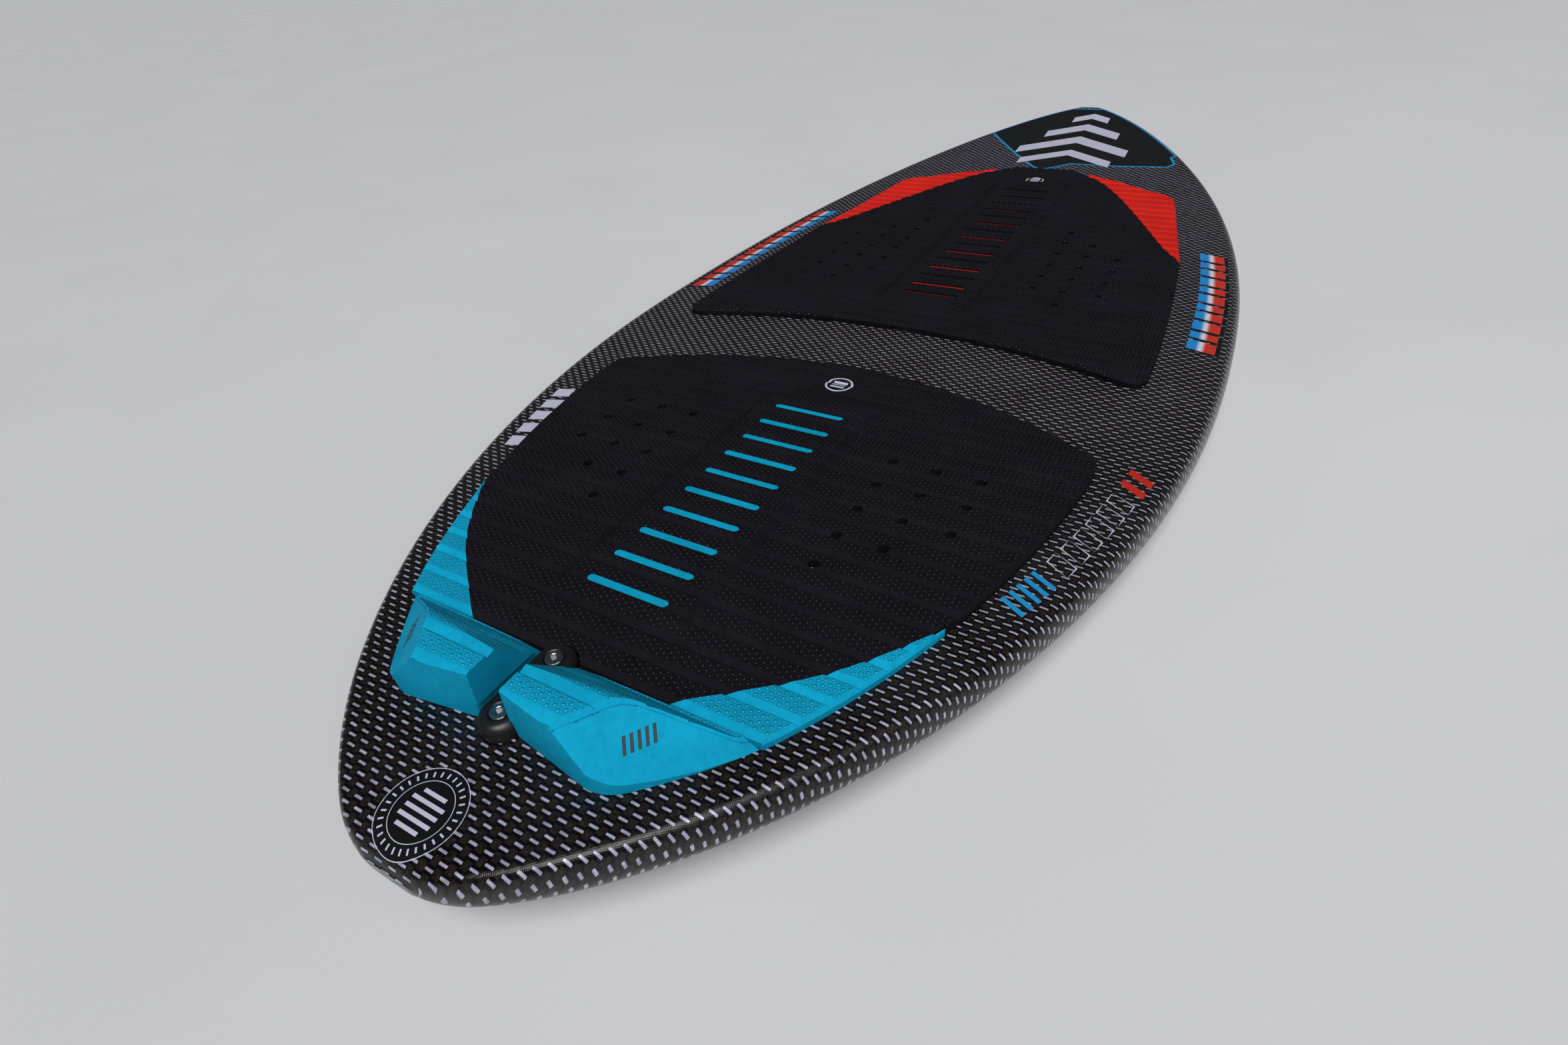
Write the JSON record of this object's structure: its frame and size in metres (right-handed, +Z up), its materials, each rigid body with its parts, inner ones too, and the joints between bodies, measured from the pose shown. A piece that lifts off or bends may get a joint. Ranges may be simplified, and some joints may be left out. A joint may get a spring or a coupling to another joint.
{
  "type": "wakesurf board",
  "caption": "Surf-style carbon board with a pointed nose, grooved foam traction pads, tail kick blocks and a centre fin clamped by machine screws through the deck.",
  "frame": {"origin": "centre of the board at the level of its flat belly, halfway along its length and width", "axes": "+Y towards the pointed nose, +Z up out of the deck, +X across the board to the right"},
  "size_m": [0.551, 1.368, 0.0898],
  "materials": {
    "foam": "bare closed-cell foam",
    "fin_block_core": "high-density foam and resin block",
    "deck_laminate": "clear-coated woven carbon with a fleck of silver in the weave and coloured graphics",
    "bottom_laminate": "clear-coated woven carbon with a fleck of silver in the weave",
    "black_pad": "closed-cell foam with fine raised dots and cut grooves",
    "blue_pad": "closed-cell foam with fine raised dots and cut grooves",
    "red_pad": "closed-cell foam with fine raised dots and cut grooves",
    "hub_plastic": "moulded black plastic, semi-gloss",
    "gasket_rubber": "soft black rubber",
    "fin_composite": "moulded glass-filled composite, semi-gloss",
    "bolt_steel": "bright stainless steel",
    "insert_brass": "turned brass"
  },
  "bodies": {
    "board": {"foam_core": "foam", "fin_block": "fin_block_core", "deck_skin": "deck_laminate", "bottom_skin": "bottom_laminate", "rear_pad_centre": "black_pad", "rear_arch_insert": "blue_pad", "rear_pad_left_wing": "blue_pad", "rear_pad_right_wing": "blue_pad", "rear_kick_left": "blue_pad", "rear_kick_right": "blue_pad", "front_pad_centre": "black_pad", "front_arch_insert": "red_pad", "front_pad_left_wing": "red_pad", "front_pad_right_wing": "red_pad", "bolt_hub": "hub_plastic", "hub_gasket": "gasket_rubber", "front_bolt_sleeve": "bolt_steel", "rear_bolt_sleeve": "bolt_steel", "fin_gasket": "gasket_rubber"},
    "fin": {"centre_fin": "fin_composite", "front_bolt_insert": "insert_brass", "rear_bolt_insert": "insert_brass"},
    "front_seal": {"front_bolt_seal": "gasket_rubber"},
    "front_bolt": {"front_bolt": "bolt_steel"},
    "rear_seal": {"rear_bolt_seal": "gasket_rubber"},
    "rear_bolt": {"rear_bolt": "bolt_steel"}
  },
  "joints": [
    {"name": "fin_release", "type": "slide", "parent": "board", "child": "fin", "axis": [0, -0.04, -0.9992], "range_m": [0, 0.03]},
    {"name": "front_seal_lift", "type": "slide", "parent": "board", "child": "front_seal", "axis": [0, 0.04, 0.9992], "range_m": [0, 0.01]},
    {"name": "front_bolt_turn", "type": "hinge", "parent": "front_seal", "child": "front_bolt", "pos_m": [0, -0.57002, 0.0555], "axis": [0, 0.04, 0.9992], "range_deg": [0, 3610]},
    {"name": "rear_seal_lift", "type": "slide", "parent": "board", "child": "rear_seal", "axis": [0, 0.04, 0.9992], "range_m": [0, 0.01]},
    {"name": "rear_bolt_turn", "type": "hinge", "parent": "rear_seal", "child": "rear_bolt", "pos_m": [0, -0.60798, 0.05702], "axis": [0, 0.04, 0.9992], "range_deg": [0, 3610]}
  ],
  "couplings": [
    {"joint": "front_bolt_turn", "follows": "front_seal_lift", "rad_per_m": 6283.2},
    {"joint": "rear_bolt_turn", "follows": "rear_seal_lift", "rad_per_m": 6283.2}
  ]
}
